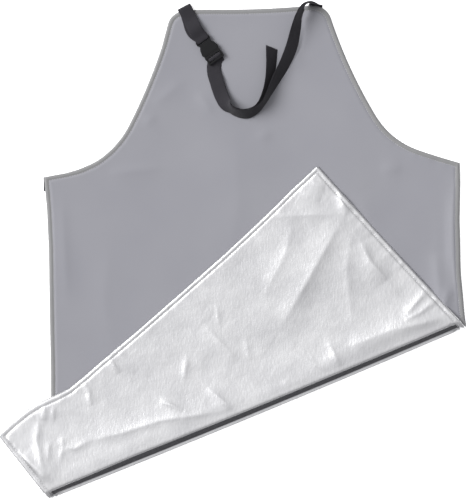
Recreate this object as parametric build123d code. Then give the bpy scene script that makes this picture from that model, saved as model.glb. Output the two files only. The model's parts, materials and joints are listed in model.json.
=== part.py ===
from build123d import *
import math
import os

os.makedirs("parts", exist_ok=True)

# A lead apron lying face up on a table, with its lower corner folded up over the front.
# Millimetres. X runs across the apron, +Y towards the neck, +Z up off the table.
# Origin: on the resting face, midway between the two underarm corners.

# The cut pattern
APRON_WIDTH = 610.0
SIDE_LENGTH = 565.0
BIB_HEIGHT = 244.7
NECKLINE_HALF = 92.0
NECKLINE_DIP = 3.2
SHOULDER_R = 28.0
SHOULDER_SWEEP = 77.0
ARMHOLE = ((183.0, 78.0), (245.0, 22.0))
HEM_CORNER_R = 6.0

# Layers, from the table up: back cover, two shielding sheets, front cover
COVER = 0.5
SHEET = 1.0
SEAM_WIDTH = 8.0
SHEET_INSET = 8.5
APRON_THICK = 2 * COVER + 2 * SHEET

# Topstitching: a lockstitch line along every edge
STITCH_INSET = 7.0
THREAD = 0.6
THREAD_RISE = 0.25

# The fold, a straight crease from the left side edge to the right side edge
FOLD_LEFT_Y = -463.5
FOLD_RIGHT_Y = -238.0
FOLD_GAP = 4.0
FOLD_CLEARANCE = 0.3
FOLD_AXIS_Z = APRON_THICK + FOLD_GAP / 2

# Webbing of the neck strap and waist tabs
WEBBING_WIDTH = 20.0
WEBBING = 1.0
LAYER_GAP = 0.1
ANCHOR_DEPTH = 12.0
ANCHOR_ROOM = 0.2
TURN_INNER_R = 1.5
TURN_RUN = 10.0
LEFT_ROOT = (-96.7, 248.0)
LEFT_ROOT_TURN = 25.9
RIGHT_ROOT = (97.3, 246.0)
RIGHT_ROOT_TURN = -23.0
TAB_DEPTH = 7.5
TAB_TOP_Y = {"left": -3.0, "right": -7.0}
TAB_PROUD = {"left": 4.0, "right": 1.5}
TACK_LENGTH = 14.0
TACK_X = 90.0

# Side-release buckle for 20 mm webbing. Across the webbing is local X, along it from the
# fixed bar to the ladder end is local Y, and up is local Z.
BUCKLE_AT = (-70.0, 198.5, APRON_THICK + 0.3)
BUCKLE_TURN = -146.0
BUCKLE_THICK = 7.2
BUCKLE_WALL = 1.2
LUG_HALF = 11.5
NOTCH_HALF = 9.9
NOTCH_Y = 6.6
SOCKET_HALF = 12.4
SOCKET_END = 24.0
SLOT_HALF = 10.5
SLOT_END = 5.4
BAR_Y = 1.8
BAR_Z = 3.7
BAR_R = 1.4
CAVITY_HALF = 9.8
CAVITY_START = 7.2
WINDOW_START = 8.5
WINDOW_END = 19.0
PLUG_START = SOCKET_END + 0.3
PLUG_END = 38.6
PLUG_HALF = 13.2
RAIL_HALF = 10.9
WEB_END = 28.0
LADDER_Y = 31.8
LADDER_Z = 4.2
LADDER_R = 1.3
END_BAR_Y = 35.8
END_BAR_LOW = 5.0
TONGUE_HALF = 1.8
PRONG_ROOT = (6.1, 27.0)
PRONG_LOW = 1.8
PRONG_HIGH = 5.4

FAR = 2000.0


def write(node, shape):
    shape.label = node
    export_step(shape, f"parts/{node}.step")


# ---------------------------------------------------------------- apron body

def inward(edge, at, distance):
    """The point a set distance to the right of a curve, which is inside the pattern."""
    along = edge % at
    return edge @ at + Vector(along.Y, -along.X) * distance


def bib_arcs():
    """The neckline, then the right shoulder and armhole, each arc tangent to the one before it."""
    neckline = ThreePointArc(
        (-NECKLINE_HALF, BIB_HEIGHT), (0, BIB_HEIGHT - NECKLINE_DIP), (NECKLINE_HALF, BIB_HEIGHT)
    )
    arcs = [neckline, JernArc(neckline @ 1, neckline % 1, SHOULDER_R, -SHOULDER_SWEEP)]
    for end in (*ARMHOLE, (APRON_WIDTH / 2, 0)):
        arcs.append(TangentArc(arcs[-1] @ 1, end, tangent=arcs[-1] % 1))
    return arcs


def pattern_face(inset=0.0):
    """The apron's flat cut shape, or the same shape a set distance inside its edge."""
    low = -SIDE_LENGTH
    top, *right = [
        ThreePointArc(*[inward(arc, at, inset) for at in (0, 0.5, 1)]) for arc in bib_arcs()
    ]
    left = [mirror(arc, about=Plane.YZ) for arc in right]
    foot = right[-1] @ 1
    below = Polyline(foot, (foot.X, 2 * low), (-foot.X, 2 * low), (-foot.X, foot.Y))
    bib = make_face(Curve() + [top, *right, below, *left])
    height = 2 * BIB_HEIGHT
    skirt = Pos(0, low + inset + height) * Rectangle(APRON_WIDTH - 2 * inset, 2 * height)
    if inset < HEM_CORNER_R:
        skirt = fillet(skirt.vertices().group_by(Axis.Y)[0], HEM_CORNER_R - inset)
    return (bib & skirt).face()


def rim_face(outer, inner):
    """The band of the pattern between two distances from its edge."""
    return Face(pattern_face(outer).outer_wire(), [pattern_face(inner).outer_wire()])


def slab(face, low, high):
    return Pos(0, 0, low) * extrude(face, amount=high - low, dir=(0, 0, 1))


fold_turn = math.degrees(math.atan2(FOLD_RIGHT_Y - FOLD_LEFT_Y, APRON_WIDTH))
fold_length = math.hypot(APRON_WIDTH, FOLD_RIGHT_Y - FOLD_LEFT_Y)
fold_at = Location((0, (FOLD_LEFT_Y + FOLD_RIGHT_Y) / 2, FOLD_AXIS_Z), (0, 0, fold_turn))
fold_axis = Axis(fold_at.position, Vector(1, 0, 0).rotate(Axis.Z, fold_turn))
panel_half = fold_at * Pos(0, FAR / 2, 0) * Box(FAR, FAR, FAR)
flap_half = fold_at * Pos(0, -FAR / 2 - FOLD_CLEARANCE, 0) * Box(FAR, FAR, FAR)


def half_ring(inner, outer, length):
    """Half a ring about local X, on the -Y side."""
    ring = Rot(0, 90, 0) * (Cylinder(outer, length) - Cylinder(inner, length))
    return ring & (Pos(0, -outer, 0) * Box(length, 2 * outer, 2 * outer))


def turned_up(shape):
    return (shape & flap_half).rotate(fold_axis, 180)


def folded_layer(name, layer, rooms=()):
    """One layer of the apron in two flat pieces: the panel on the table and the turned-up flap."""
    panel = layer & panel_half
    for room in rooms:
        panel -= room
    write(f"{name}_panel", panel)
    write(f"{name}_flap", turned_up(layer))


def fold_strip(name, low, high, length):
    """The round part of one layer where it turns over, the whole way across the apron."""
    write(f"{name}_fold", fold_at * half_ring(FOLD_AXIS_Z - high, FOLD_AXIS_Z - low, length))


def fold_ends(name, low, high, length):
    """The round part of a layer that only runs along the side edges."""
    end = half_ring(FOLD_AXIS_Z - high, FOLD_AXIS_Z - low, length)
    reach = (fold_length - length) / 2
    write(f"{name}_fold", fold_at * (Pos(-reach, 0, 0) * end + Pos(reach, 0, 0) * end))


def root_location(root, turn):
    return Location((*root, 0), (0, 0, turn))


left_root = root_location(LEFT_ROOT, LEFT_ROOT_TURN)
right_root = root_location(RIGHT_ROOT, RIGHT_ROOT_TURN)


def anchor(place, thick, room=0.0, outside=0.0):
    """The end of a neck strap, sewn between the covers; the seam edge crosses it near local Y 0."""
    length = ANCHOR_DEPTH + 2 * room + outside
    return place * Pos(0, outside + room - length / 2, COVER + SHEET) * Box(
        WEBBING_WIDTH + 2 * room, length, thick + 2 * room
    )


def waist_tab(side, room=0.0):
    """A loop of doubled webbing sewn into the side seam just below the underarm corner."""
    length = TAB_DEPTH + TAB_PROUD[side]
    sign = -1 if side == "left" else 1
    middle = sign * (APRON_WIDTH / 2 - TAB_DEPTH + length / 2)
    return Pos(middle, TAB_TOP_Y[side] - WEBBING_WIDTH / 2, COVER + SHEET) * Box(
        length + 2 * room, WEBBING_WIDTH + 2 * room, 2 * WEBBING + 2 * room
    )


def stitch_line(low):
    """A thread lying on a cover, all the way round at one distance from the edge."""
    return slab(rim_face(STITCH_INSET - THREAD / 2, STITCH_INSET + THREAD / 2), low, low + THREAD_RISE)


def bartack(x):
    """The dense zigzag stitch that holds a strap end, raised a little above the front cover."""
    y = BIB_HEIGHT - STITCH_INSET / 2
    return Pos(x, y, APRON_THICK + THREAD_RISE / 2) * Box(TACK_LENGTH, 3 * THREAD, THREAD_RISE)


def make_apron():
    face = pattern_face()
    core = (COVER, APRON_THICK - COVER)
    folded_layer("back_cover", slab(face, 0, COVER))
    folded_layer("front_cover", slab(face, core[1], APRON_THICK))
    fold_strip("back_cover", 0, COVER, fold_length)
    fold_strip("front_cover", core[1], APRON_THICK, fold_length)

    rooms = [
        anchor(place, 2 * WEBBING, ANCHOR_ROOM, SEAM_WIDTH) for place in (left_root, right_root)
    ]
    rooms += [waist_tab(side, ANCHOR_ROOM) for side in TAB_PROUD]
    sheet_face = pattern_face(SHEET_INSET)
    sheet_fold = fold_length - 2 * SHEET_INSET / math.cos(math.radians(fold_turn))
    for name, low in (("shielding_sheet_back", COVER), ("shielding_sheet_front", COVER + SHEET)):
        folded_layer(name, slab(sheet_face, low, low + SHEET), rooms)
        fold_strip(name, low, low + SHEET, sheet_fold)
    folded_layer("seam_allowance", slab(rim_face(0, SEAM_WIDTH), *core), rooms)
    fold_ends("seam_allowance", *core, SEAM_WIDTH)

    front_line = stitch_line(APRON_THICK)
    back_line = stitch_line(-THREAD_RISE)
    write("topstitch_front_panel", front_line & panel_half)
    write("topstitch_front_flap", turned_up(front_line))
    write("topstitch_back_flap", turned_up(back_line))

    for side in TAB_PROUD:
        write(f"waist_tab_{side}", waist_tab(side))
    write("neck_strap_left_anchor", anchor(left_root, 2 * WEBBING))
    write("neck_strap_right_anchor", anchor(right_root, WEBBING))
    write("bartack_left", bartack(-TACK_X))
    write("bartack_right", bartack(TACK_X))


# ---------------------------------------------------------------- neck strap

def corners(centre, across, along):
    """The four corners of the webbing's cross-section, in order round it."""
    side = across * (WEBBING_WIDTH / 2)
    face_up = along.cross(across) * (WEBBING / 2)
    return [centre + side + face_up, centre - side + face_up, centre - side - face_up, centre + side - face_up]


def triangle(*points):
    return Face(Wire.make_polygon(points, close=True))


def cross_sections(stations):
    """Sections of webbing at (centre, across) stations, square to the way from neighbour to neighbour."""
    centres = [Vector(*centre) for centre, _ in stations]
    last = len(centres) - 1
    sections = []
    for i, (_, across) in enumerate(stations):
        along = (centres[min(i + 1, last)] - centres[max(i - 1, 0)]).normalized()
        square = Vector(*across) - along * along.dot(Vector(*across))
        sections.append(corners(centres[i], square.normalized(), along))
    return sections


def webbing_through(sections):
    """A closed solid of webbing through a list of its cross-sections.

    Both broad faces are split along the same diagonal, so that a twist keeps its thickness.
    """
    faces = [Face(Wire.make_polygon(end, close=True)) for end in (sections[0][::-1], sections[-1])]
    for near, far in zip(sections, sections[1:]):
        for i, j in ((0, 1), (1, 2), (3, 0)):
            faces.append(triangle(near[i], near[j], far[j]))
            faces.append(triangle(near[i], far[j], far[i]))
        faces.append(triangle(near[2], near[3], far[2]))
        faces.append(triangle(near[3], far[3], far[2]))
    return Solid(Shell(faces))


def height(lift, roll):
    """The webbing's middle, when its lower edge is lift above the front cover and it leans by roll."""
    half = WEBBING_WIDTH / 2 * math.sin(roll) + WEBBING / 2 * math.cos(roll)
    return APRON_THICK + lift + half


def rolled_stations(route):
    """Stations from (x, y, lift, roll): roll raises the edge on the left of the way the route runs."""
    points = [Vector(x, y, height(lift, math.radians(roll))) for x, y, lift, roll in route]
    last = len(points) - 1
    stations = []
    for i, point in enumerate(points):
        along = points[min(i + 1, last)] - points[max(i - 1, 0)]
        left = Vector(-along.Y, along.X, 0).normalized()
        roll = math.radians(route[i][3])
        stations.append((point, left * math.cos(roll) + Vector(0, 0, 1) * math.sin(roll)))
    return stations


def shifted(stations, distance):
    """The same stations moved square to the webbing's face."""
    points = [Vector(*centre) for centre, _ in stations]
    last = len(points) - 1
    moved = []
    for i, (_, across) in enumerate(stations):
        along = (points[min(i + 1, last)] - points[max(i - 1, 0)]).normalized()
        face_up = along.cross(Vector(*across)).normalized()
        moved.append((points[i] + face_up * distance, across))
    return moved


# The long side of the neck strap: from the buckle down the left of the bib, round the bottom of
# the loop standing on its edge, and up the right to the shoulder.
LONG_ROUTE = [
    (-50.0, 138.0, 2.6, 8.0),
    (-43.5, 118.0, 2.6, 16.0),
    (-35.5, 103.5, 2.4, 34.0),
    (-24.0, 92.5, 1.9, 50.0),
    (-8.0, 87.5, 1.8, 54.0),
    (8.0, 92.5, 1.6, 62.0),
    (18.5, 103.0, 1.2, 70.0),
    (26.5, 116.0, 0.8, 66.0),
    (36.5, 134.5, 0.8, 52.0),
    (50.0, 158.0, 2.0, 40.0),
    (61.5, 184.0, 4.6, 34.0),
    (68.5, 211.0, 7.0, 46.0),
    (73.5, 230.0, 8.5, 62.0),
    (80.5, 242.5, 9.3, 74.0),
]
# Where the free tail leaves the long side and lies on its own inside the loop
TAIL_LEAVES_AT = 6
TAIL_ROUTE = [
    (22.5, 118.5, 0.5, 58.0),
    (27.4, 136.5, 0.5, 54.0),
    (30.8, 158.5, 0.5, 44.0),
    (32.2, 184.0, 0.5, 34.0),
]
TAIL_SPACING = WEBBING + 1.0

buckle_place = Location(BUCKLE_AT, (0, 0, BUCKLE_TURN))


def at_buckle(x, y, z):
    return (buckle_place * Pos(x, y, z)).position


def at_root(place, x, y, z):
    return (place * Pos(x, y, z)).position


def webbing_round_bar(y, z, inner, sign):
    """Webbing half way round a bar of the buckle, on its +Y side (sign 1) or -Y side (sign -1)."""
    half = half_ring(inner, inner + WEBBING, WEBBING_WIDTH)
    turn = 180 if sign > 0 else 0
    return buckle_place * Pos(0, y, z) * Rot(0, 0, turn) * half


def make_left_strap():
    """Two layers of webbing from the left shoulder, joined where they pass round the fixed bar."""
    inner = BAR_R + 0.2
    middle = inner + WEBBING / 2
    across = at_buckle(1, 0, 0) - at_buckle(0, 0, 0)
    root_across = at_root(left_root, -1, 0, 0) - at_root(left_root, 0, 0, 0)
    low = APRON_THICK - COVER + 2 * TURN_INNER_R + WEBBING / 2
    layers = []
    for rise, bar_side, lean in ((WEBBING + LAYER_GAP, 1, 0.0), (0.0, -1, 2.5)):
        stations = [
            (at_root(left_root, 0, -TURN_RUN, low + rise), root_across),
            (at_root(left_root, 0, -TURN_RUN - 5, low + rise), root_across),
            (at_buckle(lean, -14, BAR_Z + bar_side * middle), across),
            (at_buckle(0, -4, BAR_Z + bar_side * middle), across),
            (at_buckle(0, BAR_Y, BAR_Z + bar_side * middle), across),
        ]
        layers.append(webbing_through(cross_sections(stations)))
    return layers[0] + webbing_round_bar(BAR_Y, BAR_Z, inner, 1) + layers[1]


def make_right_strap():
    """One length of webbing: up the right side, its turn round the ladder bar and the free tail."""
    inner = LADDER_R + 0.2
    middle = inner + WEBBING / 2
    across = at_buckle(-1, 0, 0) - at_buckle(0, 0, 0)
    leaving = [
        (at_buckle(0, LADDER_Y, LADDER_Z + middle), across),
        (at_buckle(0, LADDER_Y + 0.8, LADDER_Z + middle), across),
        (at_buckle(0, END_BAR_Y + 0.6, LADDER_Z - 0.3), across),
        (at_buckle(0, PLUG_END + 4, LADDER_Z - 1.2), across),
    ]
    root_across = at_root(right_root, 1, 0, 0) - at_root(right_root, 0, 0, 0)
    seam_z = COVER + SHEET
    standing = [
        ((87.5, 247.5, 21.0), (0.3, 0.3, 0.9)),
        ((93.5, 250.0, 17.0), (0.7, 0.1, 0.6)),
        ((97.5, 250.5, 11.5), (0.9, -0.3, 0.2)),
        (at_root(right_root, 0, 3.2, 6.5), root_across),
        (at_root(right_root, 0, 2.8, 3.2), root_across),
        (at_root(right_root, 0, 1.6, seam_z), root_across),
        (at_root(right_root, 0, 0, seam_z), root_across),
    ]
    under = [
        (at_buckle(0, LADDER_Y, LADDER_Z - middle), across),
        (at_buckle(0, LADDER_Y + 2, LADDER_Z - middle), across),
        (at_buckle(0, PLUG_END, LADDER_Z - middle - 0.3), across),
        (at_buckle(0, PLUG_END + 4, LADDER_Z - 1.4 - TAIL_SPACING), across),
    ]
    sections = cross_sections(leaving + rolled_stations(LONG_ROUTE) + standing)
    turn_from = len(leaving) + len(LONG_ROUTE) - 1
    write("neck_strap_right", webbing_through(sections[: turn_from + 1]))
    write("neck_strap_right_turn", webbing_through(sections[turn_from:]))
    write("neck_strap_ladder_turn", webbing_round_bar(LADDER_Y, LADDER_Z, inner, -1))
    beneath = shifted(rolled_stations(LONG_ROUTE), -TAIL_SPACING)[:TAIL_LEAVES_AT]
    tail = under + beneath + rolled_stations(TAIL_ROUTE)
    write("neck_strap_tail", webbing_through(cross_sections(tail)))


def make_left_turn():
    """The doubled left strap turning over the top edge and back down over the bib."""
    double = 2 * WEBBING
    axis_z = APRON_THICK - COVER + TURN_INNER_R
    ring = Pos(0, 0, axis_z) * Rot(0, 0, 180) * half_ring(TURN_INNER_R, TURN_INNER_R + double, WEBBING_WIDTH)
    run = Pos(0, -TURN_RUN / 2, axis_z + TURN_INNER_R + WEBBING) * Box(WEBBING_WIDTH, TURN_RUN, double)
    return left_root * (ring + run)


# ---------------------------------------------------------------- buckle

def block(x, y0, y1, z0, z1):
    """A box centred across the buckle, x to each side."""
    return Pos(0, (y0 + y1) / 2, (z0 + z1) / 2) * Box(2 * x, y1 - y0, z1 - z0)


def make_socket():
    """The receiving half: a fixed webbing bar, and a flat mouth with a window in each side."""
    right = [
        Line((0, 0), (LUG_HALF, 0)),
        Line((LUG_HALF, 0), (LUG_HALF, SLOT_END - 1)),
        Spline((LUG_HALF, SLOT_END - 1), (NOTCH_HALF, NOTCH_Y), (11.4, 13.0), (SOCKET_HALF, SOCKET_END)),
        Line((SOCKET_HALF, SOCKET_END), (0, SOCKET_END)),
    ]
    left = [mirror(edge, about=Plane.YZ) for edge in right]
    body = extrude(make_face(Curve() + [*right, *left]), amount=BUCKLE_THICK)
    rims = body.edges().filter_by(Axis.Z, reverse=True).filter_by(GeomType.LINE, reverse=True)
    body = fillet(rims, 0.8)
    low, high = BUCKLE_WALL, BUCKLE_THICK - BUCKLE_WALL
    body -= block(SLOT_HALF, -1, SLOT_END, -1, BUCKLE_THICK + 1)
    body -= block(NOTCH_HALF - 1.5, CAVITY_START, WINDOW_START, low, high)
    body -= block(CAVITY_HALF, WINDOW_START, SOCKET_END + 1, low, high)
    body -= block(SOCKET_HALF + 1, WINDOW_START, WINDOW_END, low, high)
    bar = Pos(0, BAR_Y, BAR_Z) * Rot(0, 90, 0) * Cylinder(BAR_R, 2 * SLOT_HALF + 1)
    return body + bar


def make_plug():
    """The plug half: a cross web, two rails, a round ladder bar, an end bar and a centre tongue."""
    low, high = 0.4, BUCKLE_THICK - 0.4
    frame = block(PLUG_HALF, PLUG_START, PLUG_END, low, high)
    frame = fillet(frame.edges().filter_by(Axis.Z), 2.0)
    frame -= block(RAIL_HALF, WEB_END, PLUG_END + 1, low - 1, high + 1)
    frame += block(RAIL_HALF + 0.5, END_BAR_Y, PLUG_END - 0.5, END_BAR_LOW, high)
    frame += Pos(0, LADDER_Y, LADDER_Z) * Rot(0, 90, 0) * Cylinder(LADDER_R, 2 * RAIL_HALF + 1)
    for side in (-1, 1):
        pocket = Box(4.4, 3.6, 4.6)
        frame -= Pos(side * (PRONG_ROOT[0] + 0.3), PLUG_START + 1.5, BUCKLE_THICK / 2) * pocket
    return frame + block(TONGUE_HALF, WINDOW_START + 0.8, PLUG_START + 0.5, 2.4, 4.8)


def make_prong(side):
    """A springy arm with the shoulder that catches behind its window."""
    outline = [
        Line((5.2, 27.2), (7.2, 27.2)),
        Spline((7.2, 27.2), (7.3, 22.0), (8.4, 18.8)),
        Line((8.4, 18.8), (12.6, 18.2)),
        Spline((12.6, 18.2), (12.4, 13.5), (9.4, 9.2)),
        Line((9.4, 9.2), (7.4, 9.2)),
        Spline((7.4, 9.2), (6.2, 15.0), (5.2, 27.2)),
    ]
    arm = Pos(0, 0, PRONG_LOW) * extrude(make_face(Curve() + outline), amount=PRONG_HIGH - PRONG_LOW)
    return arm if side == "left" else mirror(arm, about=Plane.YZ)


make_apron()
write("neck_strap_left", make_left_strap())
write("neck_strap_left_turn", make_left_turn())
make_right_strap()
write("buckle_socket", buckle_place * make_socket())
write("buckle_plug", buckle_place * make_plug())
for side in ("left", "right"):
    write(f"buckle_prong_{side}", buckle_place * make_prong(side))
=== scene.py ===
import json
import math

import bpy
import numpy as np
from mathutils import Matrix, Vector, noise
from mathutils.geometry import delaunay_2d_cdt


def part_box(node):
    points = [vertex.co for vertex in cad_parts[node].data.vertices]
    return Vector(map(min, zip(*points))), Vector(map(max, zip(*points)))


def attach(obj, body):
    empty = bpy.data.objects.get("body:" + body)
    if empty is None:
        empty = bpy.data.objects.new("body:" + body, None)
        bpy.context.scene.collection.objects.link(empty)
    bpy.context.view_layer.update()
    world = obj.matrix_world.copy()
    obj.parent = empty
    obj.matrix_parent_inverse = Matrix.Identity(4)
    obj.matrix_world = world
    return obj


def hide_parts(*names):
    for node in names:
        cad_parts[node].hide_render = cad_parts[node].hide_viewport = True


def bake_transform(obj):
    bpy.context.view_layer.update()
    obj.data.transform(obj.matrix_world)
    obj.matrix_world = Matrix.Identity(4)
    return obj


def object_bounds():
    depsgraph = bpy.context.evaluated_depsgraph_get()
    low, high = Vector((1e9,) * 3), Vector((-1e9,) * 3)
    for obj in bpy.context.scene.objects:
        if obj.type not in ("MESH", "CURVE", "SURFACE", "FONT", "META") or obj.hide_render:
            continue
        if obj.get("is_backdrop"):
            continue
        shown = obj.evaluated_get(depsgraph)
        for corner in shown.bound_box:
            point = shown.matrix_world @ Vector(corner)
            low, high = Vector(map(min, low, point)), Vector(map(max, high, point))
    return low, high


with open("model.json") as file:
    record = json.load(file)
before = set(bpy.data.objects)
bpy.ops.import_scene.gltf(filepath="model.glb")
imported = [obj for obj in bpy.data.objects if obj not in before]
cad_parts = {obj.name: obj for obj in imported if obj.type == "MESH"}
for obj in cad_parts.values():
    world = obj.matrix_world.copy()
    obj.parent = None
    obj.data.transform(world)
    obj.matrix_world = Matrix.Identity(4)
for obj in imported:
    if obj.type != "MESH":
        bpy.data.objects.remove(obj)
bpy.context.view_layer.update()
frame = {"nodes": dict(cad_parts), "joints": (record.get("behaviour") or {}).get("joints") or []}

# The looks of a lead apron that lies on a table with its lower corner folded up over the front.
# Cloth is worked out in millimetres, in pattern coordinates (the flat cut) first, then placed.
MM = 0.001
PANEL, FLAP, LOOP = "apron_panel", "apron_flap", "neck_loop"

# The cut pattern, as in the CAD model
HALF_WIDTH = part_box("front_cover_panel")[1].x / MM
SIDE_LENGTH = 565.0
NECKLINE_HALF, NECKLINE_DIP, BIB_HEIGHT = 92.0, 3.2, 244.7
SHOULDER_R, SHOULDER_SWEEP = 28.0, math.radians(77.0)
ARMHOLE = ((183.0, 78.0), (245.0, 22.0), (HALF_WIDTH, 0.0))
CORNER_R = 3.0
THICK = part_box("front_cover_panel")[1].z / MM
MIDDLE = THICK / 2
COVER = 0.5
SHEET_INSET = 8.5
STITCH_INSET = 7.0

joints = {joint["name"]: joint for joint in frame["joints"]}
fold_joint = joints["flap_fold"]
FOLD_AT = np.array(fold_joint["pos_m"][:2]) / MM
FOLD_AXIS_Z = fold_joint["pos_m"][2] / MM
ALONG = np.array(fold_joint["axis"][:2])
ACROSS = np.array([-ALONG[1], ALONG[0]])
FOLD_TOP = 2 * FOLD_AXIS_Z
TURN = 13.0
# How much the flap is spread or gathered away from the fold, by place along it
FLAP_GROWTH = (
    (-360, -330, -308, -285, -262, -240, -211, -120, 40, 92, 135, 165, 212, 320),
    (1.263, 1.239, 1.196, 1.134, 1.053, 0.995, 0.98, 0.970, 0.970, 0.975, 0.982, 0.989, 0.992, 0.955),
)
# How far the silver cover laps over the grey one at the fold, and how far the flap settles down
LIP = 4.8
SINK = 3.2
# Distances over which the fold's lip forms, the crease draws the panel along, the wrinkles begin
# and the flap settles
HEM_EASE, PULL_REACH, WRINKLE_START, SETTLE_REACH = 14, 90, 22, 42.0


def smooth(x):
    x = np.clip(x, 0, 1)
    return x * x * (3 - 2 * x)


# ---------------------------------------------------------------- pattern

def arc(start, heading, end, step=3.0):
    """Points of the arc that leaves start with that heading and ends at end, and its last heading."""
    chord = np.subtract(end, start)
    half = (math.atan2(chord[1], chord[0]) - heading + math.pi) % (2 * math.pi) - math.pi
    reach = np.hypot(*chord)
    count = max(2, math.ceil(reach / step))
    share = np.arange(1, count + 1) / count
    length = reach * np.sin(half * share) / math.sin(half)
    angle = heading + half * share
    return np.add(start, length[:, None] * np.c_[np.cos(angle), np.sin(angle)]), heading + 2 * half


def straight(start, end, step=3.0):
    count = math.ceil(math.dist(start, end) / step)
    return np.linspace(start, end, count + 1)[1:]


def make_outline():
    """The cut pattern's edge, clockwise from the middle of the neckline."""
    start, heading = (0.0, BIB_HEIGHT - NECKLINE_DIP), 0.0
    right = [np.array([start])]
    low = -SIDE_LENGTH
    shoulder_from = 2 * math.atan(NECKLINE_DIP / NECKLINE_HALF)
    chord = 2 * SHOULDER_R * math.sin(SHOULDER_SWEEP / 2)
    lean = shoulder_from - SHOULDER_SWEEP / 2
    top = np.array([NECKLINE_HALF, BIB_HEIGHT])
    ends = [top, top + chord * np.array([math.cos(lean), math.sin(lean)]), *ARMHOLE]
    for end in ends:
        points, heading = arc(start, heading, end)
        right.append(points)
        start = end
    right.append(straight((HALF_WIDTH, 0), (HALF_WIDTH, low + CORNER_R)))
    right.append(arc((HALF_WIDTH, low + CORNER_R), -math.pi / 2, (HALF_WIDTH - CORNER_R, low), 1.5)[0])
    right.append(straight((HALF_WIDTH - CORNER_R, low), (0, low)))
    right = np.concatenate(right)
    return np.concatenate([right, (right * (-1, 1))[-2:0:-1]])


outline = make_outline()
outline_step = np.roll(outline, -1, 0) - outline
outline_run = np.hypot(*outline_step.T)
outline_start = np.concatenate([[0], np.cumsum(outline_run)[:-1]])


def edge_distance(points):
    """How far each pattern point is from the cut edge, and where along that edge it is nearest."""
    far, at = [], []
    for some in np.array_split(points, max(1, len(points) // 1500)):
        to = some[:, None] - outline
        share = np.clip((to * outline_step).sum(2) / outline_run ** 2, 0, 1)
        gap = np.hypot(*np.moveaxis(to - share[..., None] * outline_step, 2, 0))
        nearest = gap.argmin(1)
        rows = np.arange(len(some))
        far.append(gap[rows, nearest])
        at.append(outline_start[nearest] + share[rows, nearest] * outline_run[nearest])
    return np.concatenate(far), np.concatenate(at)


def inset_loop(distance):
    """The outline moved inwards by distance, without the points that cross over at a corner."""
    before, after = np.roll(outline_step, 1, 0), outline_step
    before = before / np.hypot(*before.T)[:, None]
    after = after / np.hypot(*after.T)[:, None]
    inward = np.c_[before[:, 1] + after[:, 1], -before[:, 0] - after[:, 0]]
    inward /= (1 + (before * after).sum(1))[:, None]
    loop = outline + distance * inward
    return loop[edge_distance(loop)[0] > distance - 0.05]


def fold_coordinates(points):
    """(along the crease, from the crease towards the bib) for pattern points."""
    return (points - FOLD_AT) @ ALONG, (points - FOLD_AT) @ ACROSS


def crease_row(offset, step):
    """Pattern points along a line beside the crease, from the left edge to the right."""
    ends = [(side * HALF_WIDTH - FOLD_AT[0] - offset * ACROSS[0]) / ALONG[0] for side in (-1, 1)]
    places = np.linspace(*ends, math.ceil((ends[1] - ends[0]) / step) + 1)
    return FOLD_AT + places[:, None] * ALONG + offset * ACROSS


def mesh_pattern(boundary, inner):
    """A Delaunay mesh of the area inside boundary: its points and its triangles."""
    points = [Vector(p) for p in np.concatenate([boundary, inner])]
    points, _, faces, *_ = delaunay_2d_cdt(points, [], [list(range(len(boundary)))], 1, 1e-5)
    points = np.array([p[:] for p in points])
    faces = np.array(faces)
    a, b, c = points[faces[:, 0]], points[faces[:, 1]], points[faces[:, 2]]
    area = np.cross(b - a, c - a)
    faces = faces[np.abs(area) > 1e-6]
    area = area[np.abs(area) > 1e-6]
    faces[area < 0] = faces[area < 0][:, ::-1]
    return points, faces


def regions(step, loops, inset=0.0):
    """The panel, the fold and the flap as pattern meshes, all with the same points where they meet."""
    edge = outline if not inset else inset_loop(inset)
    from_crease = fold_coordinates(edge)[1]
    rows = {side: crease_row(side * TURN, 4.0) for side in (-1, 1)}
    if inset:
        rows = {side: row[np.abs(row[:, 0]) < HALF_WIDTH - inset - 0.5] for side, row in rows.items()}
    inner_loops = np.concatenate([inset_loop(inset + d) for d in loops]) if loops else np.zeros((0, 2))
    deepest = inset + (loops[-1] if loops else 0)
    made = {}
    for name, side in (("panel", 1), ("flap", -1)):
        keep = side * from_crease > TURN + 1
        order = np.flatnonzero(keep)
        if name == "panel":
            split = np.flatnonzero(np.diff(order) > 1)[0] + 1
            order = np.concatenate([order[split:], order[:split]])
            row = rows[1][::-1]
        else:
            row = rows[-1]
        boundary = np.concatenate([edge[order], row])
        size = step[name]
        columns, lines = np.meshgrid(
            np.arange(-HALF_WIDTH, HALF_WIDTH, size), np.arange(-SIDE_LENGTH, BIB_HEIGHT + 10, size * 0.866)
        )
        columns = columns + (np.arange(len(lines)) % 2)[:, None] * size / 2
        grid = np.c_[columns.ravel(), lines.ravel()]
        grid = grid[side * fold_coordinates(grid)[1] > TURN + 0.7 * size]
        inside = inside_outline(grid)
        grid = grid[inside]
        grid = grid[edge_distance(grid)[0] > deepest + 0.7 * size]
        ringed = inner_loops[side * fold_coordinates(inner_loops)[1] > TURN + 1.2]
        made[name] = mesh_pattern(boundary, np.concatenate([grid, ringed]))
    keep = np.abs(from_crease) < TURN - 0.6
    sides = edge[keep]
    right, left = sides[sides[:, 0] > 0], sides[sides[:, 0] < 0]
    right = right[np.argsort(-right[:, 1])]
    left = left[np.argsort(left[:, 1])]
    boundary = np.concatenate([rows[1], right, rows[-1][::-1], left])
    inner = [crease_row(offset, 4.0)[1:-1] for offset in np.linspace(-TURN, TURN, 21)[1:-1]]
    inner = np.concatenate(inner)
    inner = inner[np.abs(inner[:, 0]) < HALF_WIDTH - deepest - 1]
    ringed = inner_loops[np.abs(fold_coordinates(inner_loops)[1]) < TURN - 0.6]
    made["fold"] = mesh_pattern(boundary, np.concatenate([inner, ringed]))
    return made


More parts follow.
